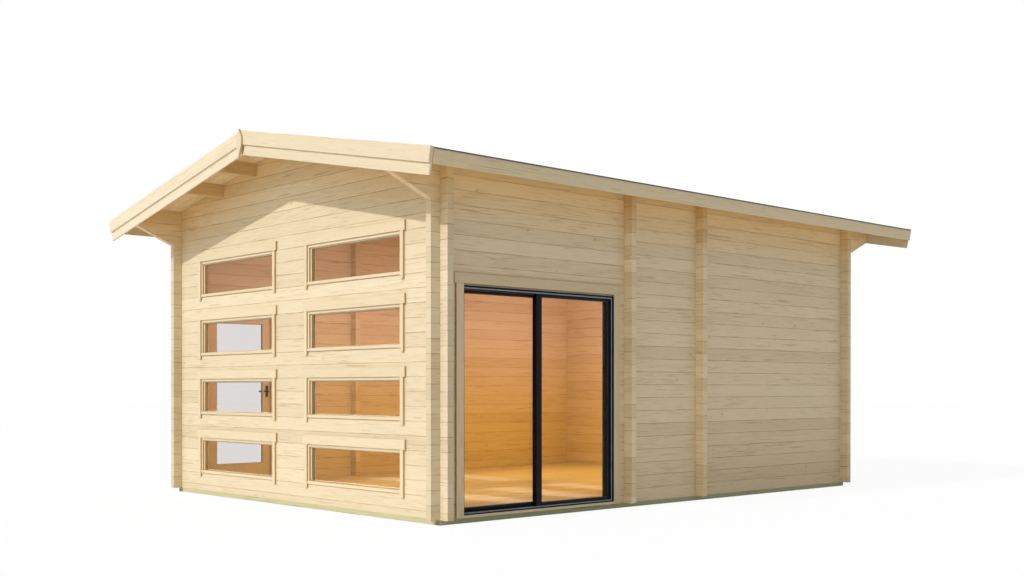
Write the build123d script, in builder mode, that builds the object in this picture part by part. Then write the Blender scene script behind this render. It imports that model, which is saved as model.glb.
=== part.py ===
from build123d import *
import os
from math import cos, radians, sin, tan

# Log cabin with a low gable roof, in millimetres. The origin lies on the ground under the middle
# of the cabin. The gable with the windows faces -Y, and the long wall on the +X side has the
# sliding door. Logs of crossing walls are half a course apart, so that they interlock.

# Log walls
cabin_width = 4900.0
cabin_length = 6530.0
log_thickness = 70.0
log_height = 135.0
log_easing = 3.0
log_end = 105.0
notch_gap = 0.5
splice_margin = 201.0
splice_spacing = 1162.0

# Ground frame and floor
beam_height = 48.0
beam_width = 95.0
joist_width = 45.0
joist_pitch = 640.0
floor_thickness = 28.0
floor_gap = 10.0

# Roof
roof_angle = 11.2
eave_height = 3298.0
eave_overhang = 600.0
gable_overhang = 590.0
deck_thickness = 19.0
covering_thickness = 6.0
covering_drip = 8.0
purlin_width = 70.0
purlin_height = 138.0
purlin_pitch = 712.0
barge_thickness = 20.0
upper_barge_height = 138.0
lower_barge_height = 240.0
barge_lip = 10.0
apex_gap = 2.0
apex_board_width = 104.0
apex_board_thickness = 20.0
apex_peak_rise = 14.0
apex_shoulder_drop = 70.0
apex_hip_drop = 148.0
apex_tip_drop = 270.0
fascia_thickness = 20.0
fascia_height = 125.0
bracket_courses = 3
bracket_nose = 22.0
bracket_rise = 193.0

# Trim boards round the windows and doors
trim_thickness = 22.0
head_trim_height = 96.0
head_trim_reach = 24.0

# Windows in the front gable
window_width = 1560.0
window_offset = 1110.0
window_rows = 4
window_first_course = 1
window_courses = 3
window_row_step = 5
window_stile = 42.0
window_head_rail = 37.0
window_bead = 18.0
window_head_bead = 9.0
window_bead_setback = 20.0
window_frame_depth = 70.0
window_frame_proud = 6.0
window_sill_height = 34.0
window_sill_proud = 15.0
window_sill_slope = 8.0
window_pane_thickness = 24.0
window_pane_setback = 42.0
window_trim_width = 46.0
window_trim_drop = 40.0

# Both doorways
doorway_height = 2126.0
door_trim_width = 88.0

# Sliding door
slider_start = 249.0
slider_width = 2020.0
slider_depth = 125.0
slider_jamb = 34.0
slider_sill = 50.0
slider_head = 28.0
slider_lining = 18.0
slider_trim_lap = 12.0
slider_flange = 4.0
threshold_height = 26.0
panel_thickness = 38.0
panel_setback = 12.0
track_gap = 8.0
panel_stile = 30.0
meeting_stile = 71.0
running_meeting_stile = 50.0
panel_rail = 23.0
panel_pane_thickness = 24.0
fixed_panel_width = 1034.0
panel_clearance = 6.0
track_width = 12.0
track_height = 3.0
shoe_length = 90.0
shoe_inset = 120.0
running_gap = 0.3

# Hinged door
door_centre = 800.0
door_width = 930.0
door_jamb = 38.0
door_stop = 12.0
door_sill = 42.0
leaf_thickness = 44.0
leaf_gap = 7.0
stop_gap = 5.0
leaf_stile = 97.0
leaf_top_rail = 104.0
leaf_bottom_rail = 192.0
leaf_pane_thickness = 24.0
door_trim_lap = 10.0
knuckle_radius = 8.0
knuckle_length = 45.0
knuckle_standoff = 9.0
hinge_pin_radius = 4.0
hinge_pin_length = 40.0
hinge_pin_gap = 0.1
hinge_neck = 4.5
hinge_heights = (320.0, 1900.0)
handle_height = 1184.0
handle_plate_width = 34.0
handle_plate_height = 140.0
handle_plate_thickness = 6.0
handle_reach = 46.0
handle_lever = 72.0
handle_lever_height = 18.0
handle_lever_thickness = 10.0
handle_lever_tip = 6.0

# Places that follow from the sizes above
half_width = cabin_width / 2
half_length = cabin_length / 2
half_log = log_height / 2
wall_line = half_width - log_thickness / 2
gable_line = half_length - log_thickness / 2
room_half_width = half_width - log_thickness
room_half_length = half_length - log_thickness
slope = tan(radians(roof_angle))
plumb_share = 1 / cos(radians(roof_angle))
ridge_height = eave_height + half_width * slope
wall_courses = round((eave_height - beam_height) / log_height)
gable_courses = round((ridge_height - beam_height - half_log) / log_height)
slider_y = slider_start + slider_width / 2 - half_length
first_splice = slider_start + slider_width + splice_margin
splice_lines = (first_splice - half_length, first_splice + splice_spacing - half_length)
corner_lines = (-gable_line, gable_line)
barge_back = half_length + gable_overhang - barge_thickness - barge_thickness
deck_edge = half_width + eave_overhang - fascia_thickness
deck_rise = deck_thickness * plumb_share
covering_rise = covering_thickness * plumb_share
doorway_top = beam_height + doorway_height
door_y = door_centre - half_length


def deck_underside(x):
    """Height of the roof boards' underside at a distance x from the ridge line."""
    return ridge_height - abs(x) * slope


def course_base(course):
    """Underside of a course of the long walls, counted from zero at the ground beam."""
    return beam_height + course * log_height


def gable_base(course):
    """Underside of a gable course, half a log above the long wall's course of that number."""
    return course_base(course) + half_log


def block(x_span, y_span, z_span, mode=Mode.ADD):
    """A box between two limits along each axis, in the part that is being built."""
    low = Vector(x_span[0], y_span[0], z_span[0])
    size = Vector(x_span[1], y_span[1], z_span[1]) - low
    with Locations(low):
        Box(size.X, size.Y, size.Z, align=(Align.MIN, Align.MIN, Align.MIN), mode=mode)


def prism(plane, outline, reach):
    """A solid with the given outline on a plane through the origin, as far on both sides of it."""
    with BuildPart() as solid:
        with BuildSketch(plane):
            Polygon(*outline, align=None)
        extrude(amount=reach, both=True)
    return solid.part


def log_along_y(run, crossings=(), height=log_height):
    """A log with eased upper edges, cut half through from below where other walls cross it."""
    with BuildPart() as log:
        with BuildSketch(Plane.XZ) as section:
            with Locations((0, height / 2)):
                Rectangle(log_thickness, height)
            chamfer(section.vertices().group_by(Axis.Y)[-1], log_easing)
        extrude(amount=run / 2, both=True)
        for crossing in crossings:
            across = (crossing - log_thickness / 2 - notch_gap, crossing + log_thickness / 2 + notch_gap)
            block((-log_thickness, log_thickness), across, (0, half_log), mode=Mode.SUBTRACT)
    return log.part


# Space under the roof boards, and the timbers that carry them
roof_reach = half_width + eave_overhang
under_roof = prism(
    Plane.XZ,
    [
        (-roof_reach, 0),
        (roof_reach, 0),
        (roof_reach, deck_underside(roof_reach)),
        (0, ridge_height),
        (-roof_reach, deck_underside(roof_reach)),
    ],
    barge_back,
)

with BuildPart() as ridge_purlin:
    block(
        (-purlin_width / 2, purlin_width / 2),
        (-barge_back, barge_back),
        (ridge_height - purlin_height, ridge_height),
    )
    add(under_roof, mode=Mode.INTERSECT)

with BuildPart() as purlins:
    for step in (1, 2):
        uphill = step * purlin_pitch - purlin_width / 2
        top = deck_underside(uphill)
        for across in ((uphill, uphill + purlin_width), (-uphill - purlin_width, -uphill)):
            block(across, (-barge_back, barge_back), (top - purlin_height, top))
    add(under_roof, mode=Mode.INTERSECT)

# Long walls: the top courses run out under the roof as brackets, cut off aslant below
bracket_base = course_base(wall_courses - bracket_courses)
bracket_root = half_length + log_end
bracket_cut = prism(
    Plane.YZ,
    [
        (bracket_root, 0),
        (barge_back + log_end, 0),
        (barge_back + log_end, bracket_base + bracket_nose + bracket_rise),
        (barge_back, bracket_base + bracket_nose + bracket_rise),
        (bracket_root, bracket_base + bracket_nose),
    ],
    log_thickness,
)
top_course_height = deck_underside(room_half_width) - course_base(wall_courses - 1)
long_crossings = corner_lines + splice_lines
long_log = log_along_y(cabin_length + 2 * log_end, long_crossings)
bracket_log = log_along_y(2 * barge_back, long_crossings)
top_log = log_along_y(2 * barge_back, long_crossings, top_course_height)


def long_wall(first, line):
    """Every second course of a long wall, from the given one up, on its centre line."""
    plain_bases = []
    bracket_bases = []
    for course in range(first, wall_courses - 1, 2):
        bases = plain_bases if course < wall_courses - bracket_courses else bracket_bases
        bases.append((line, 0, course_base(course)))
    with BuildPart() as wall:
        if (wall_courses - 1 - first) % 2 == 0:
            with Locations((line, 0, course_base(wall_courses - 1))):
                add(top_log)
            add(under_roof, mode=Mode.INTERSECT)
        if bracket_bases:
            with Locations(*bracket_bases):
                add(bracket_log)
        with Locations((line, 0, 0)):
            add(bracket_cut, mode=Mode.SUBTRACT)
            add(mirror(bracket_cut, about=Plane.XZ, mode=Mode.PRIVATE), mode=Mode.SUBTRACT)
        with Locations(*plain_bases):
            add(long_log)
    return wall.part


def doorway(centre, width, line):
    """The opening of a door through a long wall, from the ground beam to the doorway's head."""
    across = (line - log_thickness, line + log_thickness)
    along = (centre - width / 2, centre + width / 2)
    block(across, along, (beam_height, doorway_top), mode=Mode.SUBTRACT)


with BuildPart() as right_wall_even_logs:
    add(long_wall(0, wall_line))
    doorway(slider_y, slider_width, wall_line)

with BuildPart() as right_wall_odd_logs:
    add(long_wall(1, wall_line))
    doorway(slider_y, slider_width, wall_line)

with BuildPart() as left_wall_even_logs:
    add(long_wall(0, -wall_line))
    doorway(door_y, door_width, -wall_line)

with BuildPart() as left_wall_odd_logs:
    add(long_wall(1, -wall_line))
    doorway(door_y, door_width, -wall_line)

# Gables: a half log lies on the ground beam, and the logs over the long walls follow the roof
corner_places = (-wall_line, wall_line)
base_log = log_along_y(cabin_width + 2 * log_end, (), half_log)
gable_log = log_along_y(cabin_width + 2 * log_end, corner_places)
peak_log = log_along_y(2 * room_half_width)
peak_top_height = ridge_height - gable_base(gable_courses - 1)
peak_top_log = log_along_y(2 * room_half_width, (), peak_top_height)


def gable(first, line):
    """Every second course of a gable, from the given one up, notched for the purlins."""
    crossing_bases = []
    peak_bases = []
    for course in range(first, gable_courses - 1, 2):
        bases = crossing_bases if course < wall_courses - 1 else peak_bases
        bases.append((0, line, gable_base(course)))
    with BuildPart() as wall:
        with Locations(crossing_bases.pop()):
            add(gable_log, rotation=(0, 0, 90))
        if peak_bases:
            with Locations(*peak_bases):
                add(peak_log, rotation=(0, 0, 90))
        if (gable_courses - 1 - first) % 2 == 0:
            with Locations((0, line, gable_base(gable_courses - 1))):
                add(peak_top_log, rotation=(0, 0, 90))
        add(under_roof, mode=Mode.INTERSECT)
        add(ridge_purlin.part, mode=Mode.SUBTRACT)
        add(purlins.part, mode=Mode.SUBTRACT)
        with Locations(*crossing_bases):
            add(gable_log, rotation=(0, 0, 90))
        if first == 1:
            with Locations((0, line, beam_height)):
                add(base_log, rotation=(0, 0, 90))
    return wall.part


window_centres = (-window_offset, window_offset)
window_height = window_courses * log_height
window_sills = [gable_base(window_first_course + row * window_row_step) for row in range(window_rows)]
window_places = [(centre, sill) for centre in window_centres for sill in window_sills]


def window_openings():
    """The openings of all windows through the front gable."""
    for centre, sill in window_places:
        across = (centre - window_width / 2, centre + window_width / 2)
        through = (-half_length - log_thickness, -room_half_length + log_thickness)
        block(across, through, (sill, sill + window_height), mode=Mode.SUBTRACT)


with BuildPart() as front_gable_even_logs:
    add(gable(0, -gable_line))
    window_openings()

with BuildPart() as front_gable_odd_logs:
    add(gable(1, -gable_line))
    window_openings()

with BuildPart() as rear_gable_even_logs:
    add(gable(0, gable_line))

with BuildPart() as rear_gable_odd_logs:
    add(gable(1, gable_line))

# Short logs cross the long walls where their logs are spliced
splice_run = log_thickness + 2 * log_end
splice_log = log_along_y(splice_run, (0,))
splice_base_log = log_along_y(splice_run, (), half_log)
splice_feet = [(x, y) for x in corner_places for y in splice_lines]


def splice_column(first):
    """Every second short log of all the splices, from the given course up."""
    bases = []
    for course in range(first, wall_courses - 1, 2):
        bases.extend((x, y, gable_base(course)) for x, y in splice_feet)
    with BuildPart() as column:
        with Locations(*bases):
            add(splice_log, rotation=(0, 0, 90))
        if first == 1:
            with Locations(*[(x, y, beam_height) for x, y in splice_feet]):
                add(splice_base_log, rotation=(0, 0, 90))
    return column.part


with BuildPart() as splice_even_logs:
    add(splice_column(0))

with BuildPart() as splice_odd_logs:
    add(splice_column(1))

# Ground beams flush with the walls, joists between them, and the floor boards as one field
with BuildPart() as long_ground_beams:
    for along in ((half_width - beam_width, half_width), (-half_width, beam_width - half_width)):
        block(along, (-half_length, half_length), (0, beam_height))

beam_inside_x = half_width - beam_width
beam_inside_y = half_length - beam_width
with BuildPart() as cross_ground_beams:
    for along in ((beam_inside_y, half_length), (-half_length, -beam_inside_y)):
        block((-beam_inside_x, beam_inside_x), along, (0, beam_height))

joist_count = int(2 * beam_inside_y / joist_pitch)
joist_step = 2 * beam_inside_y / (joist_count + 1)
with BuildPart() as floor_joists:
    for joist in range(1, joist_count + 1):
        place = joist * joist_step - beam_inside_y
        along = (place - joist_width / 2, place + joist_width / 2)
        block((-beam_inside_x, beam_inside_x), along, (0, beam_height))

floor_top = beam_height + floor_thickness
floor_half_width = room_half_width - floor_gap
floor_half_length = room_half_length - floor_gap
slider_inside = half_width - slider_depth
with BuildPart() as floor:
    block(
        (-floor_half_width, floor_half_width),
        (-floor_half_length, floor_half_length),
        (beam_height, floor_top),
    )
    for x, y in splice_feet:
        reach = (splice_run + log_thickness) / 2
        along = (y - log_thickness / 2 - floor_gap, y + log_thickness / 2 + floor_gap)
        block((x - reach, x + reach), along, (beam_height, floor_top), mode=Mode.SUBTRACT)
    sill_along = (slider_y - slider_width / 2 - floor_gap, slider_y + slider_width / 2 + floor_gap)
    block(
        (slider_inside - floor_gap, half_width),
        sill_along,
        (beam_height, floor_top),
        mode=Mode.SUBTRACT,
    )

# Roof boards, covering, fascias along the eaves and two layers of bargeboard on each gable
covering_edge = deck_edge + fascia_thickness + covering_drip


def roof_slab(edge, lift, rise):
    """One slope of a roof layer on the +X side: from the ridge to an edge, lifted off the purlins."""
    outline = [
        (0, ridge_height + lift),
        (edge, deck_underside(edge) + lift),
        (edge, deck_underside(edge) + lift + rise),
        (0, ridge_height + lift + rise),
    ]
    return prism(Plane.XZ, outline, barge_back)


deck_slab = roof_slab(deck_edge, 0, deck_rise)
covering_slab = roof_slab(covering_edge, deck_rise, covering_rise)

with BuildPart() as roof_deck_right:
    add(deck_slab)

with BuildPart() as roof_deck_left:
    add(deck_slab)
    mirror(about=Plane.YZ, mode=Mode.REPLACE)

with BuildPart() as roof_covering_right:
    add(covering_slab)

with BuildPart() as roof_covering_left:
    add(covering_slab)
    mirror(about=Plane.YZ, mode=Mode.REPLACE)

fascia_face = deck_edge + fascia_thickness
fascia_top = deck_underside(fascia_face) + deck_rise
fascia_outline = [
    (deck_edge, fascia_top - fascia_height),
    (fascia_face, fascia_top - fascia_height),
    (fascia_face, fascia_top),
    (deck_edge, deck_underside(deck_edge) + deck_rise),
]
with BuildPart() as eave_fascias:
    add(prism(Plane.XZ, fascia_outline, barge_back))
    mirror(about=Plane.YZ)

barge_rise = deck_rise + covering_rise + barge_lip


def bargeboards(height, face):
    """Boards of one height on all four gable slopes: plumb at the apex, square at the eaves."""
    apex = apex_gap / 2
    end = half_width + eave_overhang
    end_top = deck_underside(end) + barge_rise
    fall = radians(roof_angle)
    outline = [
        (apex, deck_underside(apex) + barge_rise),
        (end, end_top),
        (end - height * sin(fall), end_top - height * cos(fall)),
        (apex, deck_underside(apex) + barge_rise - height * plumb_share),
    ]
    with BuildPart() as boards:
        with BuildSketch(Plane.XZ.offset(face - barge_thickness)):
            Polygon(*outline, align=None)
        extrude(amount=barge_thickness)
        mirror(about=Plane.YZ)
        mirror(about=Plane.XZ)
    return boards.part


barge_face = half_length + gable_overhang
with BuildPart() as upper_bargeboards:
    add(bargeboards(upper_barge_height, barge_face))

with BuildPart() as lower_bargeboards:
    add(bargeboards(lower_barge_height, barge_face - barge_thickness))

# A board with pointed ends covers the joint of the bargeboards at each apex
apex_top = ridge_height + barge_rise
apex_half = apex_board_width / 2
with BuildPart() as apex_boards:
    with BuildSketch(Plane.XZ.offset(barge_face)):
        with BuildLine():
            Polyline(
                (0, apex_top + apex_peak_rise),
                (apex_half, apex_top - apex_shoulder_drop),
                (apex_half, apex_top - apex_hip_drop),
                (0, apex_top - apex_tip_drop),
            )
            mirror(about=Plane.YZ)
        make_face()
    extrude(amount=apex_board_thickness)
    mirror(about=Plane.XZ)

# Fixed windows: a sill with stiles on it and a head rail between them, all with beads that stand back
# from the frame's face, a pane behind the beads, and trim boards outside
frame_front = -half_length - window_frame_proud
pane_front = frame_front + window_pane_setback
trim_span = (-half_length - trim_thickness, -half_length)
window_half = window_width / 2
window_glass_half = window_half - window_stile
window_lip_half = window_glass_half + window_bead
stile_height = window_height - window_sill_height


def beaded_section(width, bead):
    """Outline of a frame member: its outer part up to the face, its inner part set back as a bead."""
    return [
        (0, 0),
        (width - bead, 0),
        (width - bead, window_bead_setback),
        (width, window_bead_setback),
        (width, window_frame_depth),
        (0, window_frame_depth),
    ]


head_lip = window_head_rail - window_head_bead
with BuildPart() as left_stile:
    with BuildSketch(Plane.XY):
        Polygon(*beaded_section(window_stile, window_bead), align=None)
    extrude(amount=stile_height)
    block(
        (window_stile - window_bead, window_stile),
        (0, window_frame_depth),
        (stile_height - head_lip, stile_height),
        mode=Mode.SUBTRACT,
    )

with BuildPart() as head_rail:
    head_section = beaded_section(window_head_rail, window_head_bead)
    with BuildSketch(Plane.YZ):
        Polygon(*[(deep, -down) for down, deep in head_section], align=None)
    extrude(amount=window_lip_half, both=True)
    for side in (-1, 1):
        edges = sorted((side * window_glass_half, side * window_lip_half))
        block(edges, (0, window_frame_depth), (-window_head_rail, -head_lip), mode=Mode.SUBTRACT)

sill_nose = window_sill_proud - window_frame_proud
with BuildPart() as sill_rail:
    with BuildSketch(Plane.YZ):
        Polygon(
            (-sill_nose, 0),
            (window_frame_depth, 0),
            (window_frame_depth, window_sill_height),
            (0, window_sill_height),
            (-sill_nose, window_sill_height - window_sill_slope),
            align=None,
        )
    extrude(amount=window_half, both=True)

with BuildPart() as window_stiles:
    right_stile = mirror(left_stile.part, about=Plane.YZ, mode=Mode.PRIVATE)
    for side, stile in ((-1, left_stile.part), (1, right_stile)):
        feet = [(x + side * window_half, frame_front, z + window_sill_height) for x, z in window_places]
        with Locations(*feet):
            add(stile)

with BuildPart() as window_rails:
    with Locations(*[(x, frame_front, z + window_height) for x, z in window_places]):
        add(head_rail.part)
    with Locations(*[(x, frame_front, z) for x, z in window_places]):
        add(sill_rail.part)

with BuildPart() as window_panes:
    for centre, sill in window_places:
        across = (centre - window_glass_half, centre + window_glass_half)
        upright = (sill + window_sill_height, sill + window_height - window_head_rail)
        block(across, (pane_front, pane_front + window_pane_thickness), upright)

with BuildPart() as window_side_trims:
    for centre, sill in window_places:
        for side in (-1, 1):
            edges = sorted((centre + side * window_half, centre + side * (window_half + window_trim_width)))
            block(edges, trim_span, (sill - window_trim_drop, sill + window_height))

with BuildPart() as window_head_trims:
    for centre, sill in window_places:
        reach = window_half + window_trim_width + head_trim_reach
        head = sill + window_height
        block((centre - reach, centre + reach), trim_span, (head, head + head_trim_height))

# Sliding door: an outer frame on the ground beam, a fixed panel in front and a running one behind
slider_half = slider_width / 2
slider_span = (slider_inside, half_width)
slider_clear = slider_half - slider_jamb
slider_top = doorway_top - slider_lining
sill_top = beam_height + slider_sill
head_bottom = slider_top - slider_head
front_panel_span = (half_width - panel_setback - panel_thickness, half_width - panel_setback)
rear_panel_front = front_panel_span[0] - track_gap
rear_panel_span = (rear_panel_front - panel_thickness, rear_panel_front)
rear_panel_middle = rear_panel_front - panel_thickness / 2

# A thin flange on the outer frame lines the trim boards and the threshold as far as their faces
slider_trim_inner = slider_half - slider_trim_lap
flange_inner = slider_trim_inner - slider_flange
flange_span = (half_width, half_width + trim_thickness)
threshold_top = beam_height + threshold_height

with BuildPart() as slider_jambs:
    for side in (-1, 1):
        edges = sorted((slider_y + side * slider_half, slider_y + side * slider_clear))
        block(slider_span, edges, (beam_height, slider_top))
        flange = sorted((slider_y + side * slider_trim_inner, slider_y + side * flange_inner))
        block(flange_span, flange, (threshold_top, slider_top))

with BuildPart() as slider_head_rail:
    block(slider_span, (slider_y - slider_clear, slider_y + slider_clear), (head_bottom, slider_top))
    block(
        flange_span,
        (slider_y - flange_inner, slider_y + flange_inner),
        (slider_top - slider_flange, slider_top),
    )

with BuildPart() as slider_sill_rail:
    block(slider_span, (slider_y - slider_clear, slider_y + slider_clear), (beam_height, sill_top))
    block(
        flange_span,
        (slider_y - flange_inner, slider_y + flange_inner),
        (threshold_top, threshold_top + slider_flange),
    )
    block(
        (rear_panel_middle - track_width / 2, rear_panel_middle + track_width / 2),
        (slider_y - slider_clear, slider_y + slider_clear),
        (sill_top, sill_top + track_height),
    )

with BuildPart() as slider_head_lining:
    block(
        (room_half_width, half_width),
        (slider_y - slider_half, slider_y + slider_half),
        (slider_top, doorway_top),
    )


def glazed_frame(x_span, y_span, z_span, y_glass, z_glass):
    """A door panel's frame: a slab with the opening for its glass."""
    block(x_span, y_span, z_span)
    block(x_span, y_glass, z_glass, mode=Mode.SUBTRACT)


def pane(x_span, thickness, y_glass, z_glass):
    """The glass of a door panel, in the middle of the panel's thickness."""
    middle = (x_span[0] + x_span[1]) / 2
    block((middle - thickness / 2, middle + thickness / 2), y_glass, z_glass)


fixed_panel_y = (slider_y + slider_clear - fixed_panel_width, slider_y + slider_clear)
fixed_glass_y = (fixed_panel_y[0] + meeting_stile, fixed_panel_y[1] - panel_stile)
fixed_panel_z = (sill_top, head_bottom)
fixed_glass_z = (fixed_panel_z[0] + panel_rail, fixed_panel_z[1] - panel_rail)

with BuildPart() as fixed_panel_frame:
    glazed_frame(front_panel_span, fixed_panel_y, fixed_panel_z, fixed_glass_y, fixed_glass_z)

with BuildPart() as fixed_panel_glass:
    pane(front_panel_span, panel_pane_thickness, fixed_glass_y, fixed_glass_z)

running_panel_y = (slider_y - slider_clear + panel_clearance, fixed_panel_y[0] + meeting_stile)
running_glass_y = (running_panel_y[0] + panel_stile, running_panel_y[1] - running_meeting_stile)
running_panel_z = (sill_top + panel_clearance, head_bottom - panel_clearance)
running_glass_z = (running_panel_z[0] + panel_rail, running_panel_z[1] - panel_rail)

with BuildPart() as sliding_panel_frame:
    glazed_frame(rear_panel_span, running_panel_y, running_panel_z, running_glass_y, running_glass_z)

with BuildPart() as sliding_panel_glass:
    pane(rear_panel_span, panel_pane_thickness, running_glass_y, running_glass_z)

with BuildPart() as sliding_panel_shoes:
    shoe_bottom = sill_top + track_height + running_gap
    for start in (running_panel_y[0] + shoe_inset, running_panel_y[1] - shoe_inset - shoe_length):
        block(
            (rear_panel_middle - track_width / 2, rear_panel_middle + track_width / 2),
            (start, start + shoe_length),
            (shoe_bottom, running_panel_z[0]),
        )

with BuildPart() as slider_threshold:
    block(
        flange_span,
        (slider_y - slider_trim_inner, slider_y + slider_trim_inner),
        (beam_height, threshold_top),
    )

# Hinged door in the other long wall: it opens outwards, against stops on its frame
door_half = door_width / 2
door_clear = door_half - door_jamb
stop_face = leaf_thickness + stop_gap - half_width
door_sill_top = beam_height + door_sill
leaf_half = door_clear - leaf_gap
leaf_y = (door_y - leaf_half, door_y + leaf_half)
leaf_z = (door_sill_top + leaf_gap, doorway_top - door_jamb - leaf_gap)
leaf_span = (-half_width, leaf_thickness - half_width)
leaf_glass_y = (leaf_y[0] + leaf_stile, leaf_y[1] - leaf_stile)
leaf_glass_z = (leaf_z[0] + leaf_bottom_rail, leaf_z[1] - leaf_top_rail)

with BuildPart() as door_jambs:
    for side in (-1, 1):
        outer = door_y + side * door_half
        rebate = sorted((outer, door_y + side * door_clear))
        stop = sorted((outer, door_y + side * (door_clear - door_stop)))
        block((-half_width, stop_face), rebate, (beam_height, doorway_top))
        block((stop_face, -room_half_width), stop, (beam_height, doorway_top))

with BuildPart() as door_head:
    stop_half = door_clear - door_stop
    block(
        (-half_width, stop_face),
        (door_y - door_clear, door_y + door_clear),
        (doorway_top - door_jamb, doorway_top),
    )
    block(
        (stop_face, -room_half_width),
        (door_y - stop_half, door_y + stop_half),
        (doorway_top - door_jamb - door_stop, doorway_top),
    )

with BuildPart() as door_threshold:
    block(
        (-half_width, stop_face),
        (door_y - door_clear, door_y + door_clear),
        (beam_height, door_sill_top),
    )
    block(
        (stop_face, -room_half_width),
        (door_y - stop_half, door_y + stop_half),
        (beam_height, door_sill_top),
    )

with BuildPart() as door_leaf:
    glazed_frame(leaf_span, leaf_y, leaf_z, leaf_glass_y, leaf_glass_z)

with BuildPart() as door_glass:
    pane(leaf_span, leaf_pane_thickness, leaf_glass_y, leaf_glass_z)

hinge_x = -half_width - knuckle_standoff
hinge_y = leaf_y[0] - leaf_gap / 2
upright_align = (Align.CENTER, Align.CENTER, Align.MIN)

with BuildPart() as frame_hinges:
    for height in hinge_heights:
        with Locations((hinge_x, hinge_y, height - knuckle_length)):
            Cylinder(knuckle_radius, knuckle_length, align=upright_align)
        with Locations((hinge_x, hinge_y, height)):
            Cylinder(hinge_pin_radius, hinge_pin_length, align=upright_align)
        neck_y = hinge_y - leaf_gap / 2
        block(
            (hinge_x, -half_width),
            (neck_y - hinge_neck, neck_y),
            (height - knuckle_length, height),
        )

with BuildPart() as leaf_hinges:
    bore_radius = hinge_pin_radius + hinge_pin_gap
    for height in hinge_heights:
        base = height + running_gap
        with Locations((hinge_x, hinge_y, base)):
            Cylinder(knuckle_radius, knuckle_length, align=upright_align)
        block((hinge_x, -half_width), (leaf_y[0], leaf_y[0] + hinge_neck), (base, base + knuckle_length))
        with Locations((hinge_x, hinge_y, base)):
            Cylinder(bore_radius, knuckle_length, align=upright_align, mode=Mode.SUBTRACT)

# Flat lever handles on both faces of the leaf: a plate, and a bent bar that narrows to its tip
handle_y = (leaf_y[1] + leaf_glass_y[1]) / 2
lever_top = handle_lever_height / 2
with BuildPart() as outer_handle:
    block(
        (-handle_plate_thickness, 0),
        (-handle_plate_width / 2, handle_plate_width / 2),
        (-handle_plate_height / 2, handle_plate_height / 2),
    )
    with BuildSketch(Plane.XY.offset(-lever_top)):
        Polygon(
            (0, lever_top),
            (-handle_reach, lever_top),
            (handle_lever_tip - handle_reach, lever_top - handle_lever),
            (handle_lever_thickness - handle_reach, lever_top - handle_lever),
            (handle_lever_thickness - handle_reach, -lever_top),
            (0, -lever_top),
            align=None,
        )
    extrude(amount=handle_lever_height)

with BuildPart() as door_handles:
    with Locations((leaf_span[0], handle_y, handle_height)):
        add(outer_handle.part)
    with Locations((leaf_span[1], handle_y, handle_height)):
        add(mirror(outer_handle.part, about=Plane.YZ, mode=Mode.PRIVATE))

# Trim boards of both doorways
doorway_trims = (
    (slider_y, slider_trim_inner, (half_width, half_width + trim_thickness)),
    (door_y, door_half - door_trim_lap, (-half_width - trim_thickness, -half_width)),
)
with BuildPart() as door_side_trims:
    for centre, inner, span in doorway_trims:
        for side in (-1, 1):
            edges = sorted((centre + side * inner, centre + side * (inner + door_trim_width)))
            block(span, edges, (beam_height, doorway_top))

with BuildPart() as door_head_trims:
    for centre, inner, span in doorway_trims:
        reach = inner + door_trim_width + head_trim_reach
        block(span, (centre - reach, centre + reach), (doorway_top, doorway_top + head_trim_height))

# Every piece under its node's name
pieces = {
    "long_ground_beams": long_ground_beams,
    "cross_ground_beams": cross_ground_beams,
    "floor_joists": floor_joists,
    "floor": floor,
    "right_wall_even_logs": right_wall_even_logs,
    "right_wall_odd_logs": right_wall_odd_logs,
    "left_wall_even_logs": left_wall_even_logs,
    "left_wall_odd_logs": left_wall_odd_logs,
    "front_gable_even_logs": front_gable_even_logs,
    "front_gable_odd_logs": front_gable_odd_logs,
    "rear_gable_even_logs": rear_gable_even_logs,
    "rear_gable_odd_logs": rear_gable_odd_logs,
    "splice_even_logs": splice_even_logs,
    "splice_odd_logs": splice_odd_logs,
    "ridge_purlin": ridge_purlin,
    "purlins": purlins,
    "roof_deck_right": roof_deck_right,
    "roof_deck_left": roof_deck_left,
    "roof_covering_right": roof_covering_right,
    "roof_covering_left": roof_covering_left,
    "eave_fascias": eave_fascias,
    "upper_bargeboards": upper_bargeboards,
    "lower_bargeboards": lower_bargeboards,
    "apex_boards": apex_boards,
    "window_stiles": window_stiles,
    "window_rails": window_rails,
    "window_panes": window_panes,
    "window_side_trims": window_side_trims,
    "window_head_trims": window_head_trims,
    "slider_jambs": slider_jambs,
    "slider_head_rail": slider_head_rail,
    "slider_sill_rail": slider_sill_rail,
    "slider_head_lining": slider_head_lining,
    "slider_threshold": slider_threshold,
    "fixed_panel_frame": fixed_panel_frame,
    "fixed_panel_glass": fixed_panel_glass,
    "sliding_panel_frame": sliding_panel_frame,
    "sliding_panel_glass": sliding_panel_glass,
    "sliding_panel_shoes": sliding_panel_shoes,
    "door_jambs": door_jambs,
    "door_head": door_head,
    "door_threshold": door_threshold,
    "door_leaf": door_leaf,
    "door_glass": door_glass,
    "door_handles": door_handles,
    "frame_hinges": frame_hinges,
    "leaf_hinges": leaf_hinges,
    "door_side_trims": door_side_trims,
    "door_head_trims": door_head_trims,
}
os.makedirs("parts", exist_ok=True)
for node, piece in pieces.items():
    piece.part.label = node
    export_step(piece.part, f"parts/{node}.step")
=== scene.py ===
from math import cos, radians, sin
from typing import NamedTuple

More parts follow.
